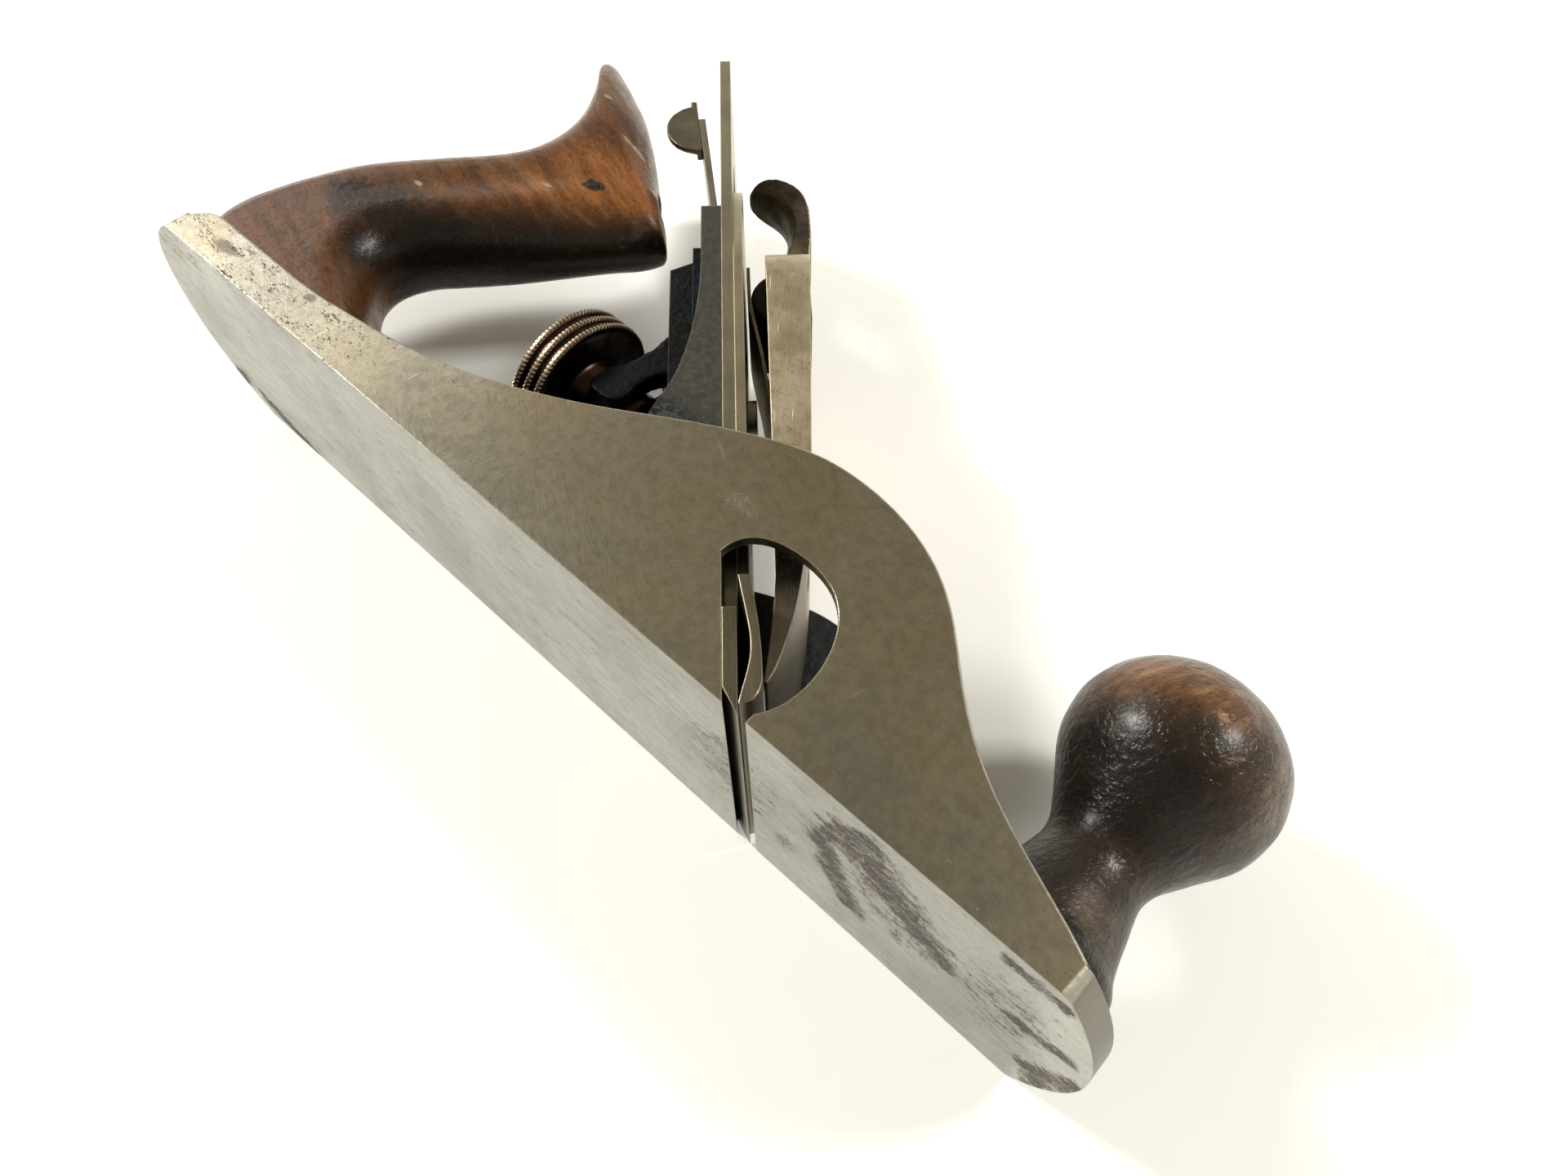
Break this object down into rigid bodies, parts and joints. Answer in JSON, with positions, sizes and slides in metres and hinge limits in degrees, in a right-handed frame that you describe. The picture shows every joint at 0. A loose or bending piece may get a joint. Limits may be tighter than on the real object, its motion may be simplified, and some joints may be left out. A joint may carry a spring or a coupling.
{
  "type": "bench rabbet plane",
  "caption": "Bench plane lying on its side: arched side walls cut through at the mouth, full-width iron, cam lever cap, screw depth feed, side lever, rear handle and ball knob.",
  "frame": {"origin": "on the left cheek's outer face, at the sole line, at the rear edge of the mouth", "axes": "+X to the toe, +Y from the sole up to the handles, +Z out of the right cheek; the plane lies on its left cheek"},
  "size_m": [0.243, 0.1184, 0.054],
  "materials": {
    "ground_iron": "ground and brushed, a little pitted",
    "frog_iron": "dark japanned casting with ground edges",
    "blade_steel": "dull ground steel",
    "lever_steel": "ground casting",
    "dark_steel": "dark patinated steel",
    "screw_steel": "dull steel",
    "wheel_brass": "dark tarnished, bright on the knurl",
    "nut_brass": "dull brass",
    "tote_wood": "stained hardwood, worn gloss",
    "knob_wood": "dark stained hardwood, worn gloss"
  },
  "bodies": {
    "casting": {"body": "ground_iron", "tote": "tote_wood", "tote_rod": "screw_steel", "tote_nut": "nut_brass", "knob": "knob_wood", "knob_rod": "screw_steel", "knob_nut": "nut_brass", "frog_screws": "screw_steel", "frog_washers": "screw_steel"},
    "frog_set": {"frog": "frog_iron", "lever_cap_screw": "screw_steel", "y_lever_pin": "screw_steel", "lateral_rivet": "screw_steel", "frog_clip": "dark_steel", "frog_clip_screw": "screw_steel"},
    "frog_feed": {"frog_adjusting_screw": "screw_steel"},
    "stud": {"adjusting_stud": "screw_steel"},
    "wheel": {"adjusting_wheel": "wheel_brass"},
    "yoke": {"y_lever": "frog_iron"},
    "cutter": {"iron": "blade_steel", "cap_iron": "blade_steel", "cap_iron_screw": "screw_steel"},
    "lateral": {"lateral_lever": "dark_steel", "thumb_tab": "dark_steel", "thumb_tab_rivets": "dark_steel", "roller_rivet": "screw_steel"},
    "roller": {"lateral_roller": "screw_steel"},
    "lever_cap_set": {"lever_cap": "lever_steel", "lever_cap_spring": "dark_steel", "spring_rivet": "screw_steel", "cam_pin": "screw_steel"},
    "cam": {"cam_lever": "dark_steel"}
  },
  "joints": [
    {"name": "frog_slide", "type": "slide", "parent": "casting", "child": "frog_set", "axis": [1, 0, 0], "range_m": [0, 0.0008]},
    {"name": "frog_feed_spin", "type": "hinge", "parent": "frog_set", "child": "frog_feed", "pos_m": [-0.055, 0.0086, 0.027], "axis": [1, 0, 0], "range_deg": [0, 360]},
    {"name": "stud_feed", "type": "slide", "parent": "frog_set", "child": "stud", "axis": [1, 0, 0], "range_m": [-0.00186, 0.00186]},
    {"name": "wheel_spin", "type": "hinge", "parent": "stud", "child": "wheel", "pos_m": [-0.078, 0.0402, 0.027], "axis": [1, 0, 0], "range_deg": [-670, 670]},
    {"name": "yoke_tilt", "type": "hinge", "parent": "frog_set", "child": "yoke", "pos_m": [-0.06703, 0.056, 0.027], "axis": [0, 0, 1], "range_deg": [-6.75, 6.75]},
    {"name": "iron_feed", "type": "slide", "parent": "frog_set", "child": "cutter", "axis": [-0.7071, 0.7071, 0], "range_m": [-0.0013, 0.0013]},
    {"name": "lateral_swing", "type": "hinge", "parent": "frog_set", "child": "lateral", "pos_m": [-0.07863, 0.07693, 0.027], "axis": [0.7071, 0.7071, 0], "range_deg": [-6, 6]},
    {"name": "roller_spin", "type": "hinge", "parent": "lateral", "child": "roller", "pos_m": [-0.06908, 0.07022, 0.027], "axis": [0.7071, 0.7071, 0], "continuous": true},
    {"name": "lever_cap_slide", "type": "slide", "parent": "frog_set", "child": "lever_cap_set", "axis": [-0.7071, 0.7071, 0], "range_m": [0, 0.009]},
    {"name": "cam_turn", "type": "hinge", "parent": "lever_cap_set", "child": "cam", "pos_m": [-0.06116, 0.08167, 0.027], "axis": [0, 0, -1], "range_deg": [0, 105]}
  ],
  "couplings": [
    {"joint": "frog_feed_spin", "follows": "frog_slide", "rad_per_m": 7854},
    {"joint": "wheel_spin", "follows": "iron_feed", "rad_per_m": -8984.1},
    {"joint": "stud_feed", "follows": "iron_feed", "ratio": 1.4299},
    {"joint": "yoke_tilt", "follows": "iron_feed", "rad_per_m": 90.498}
  ]
}
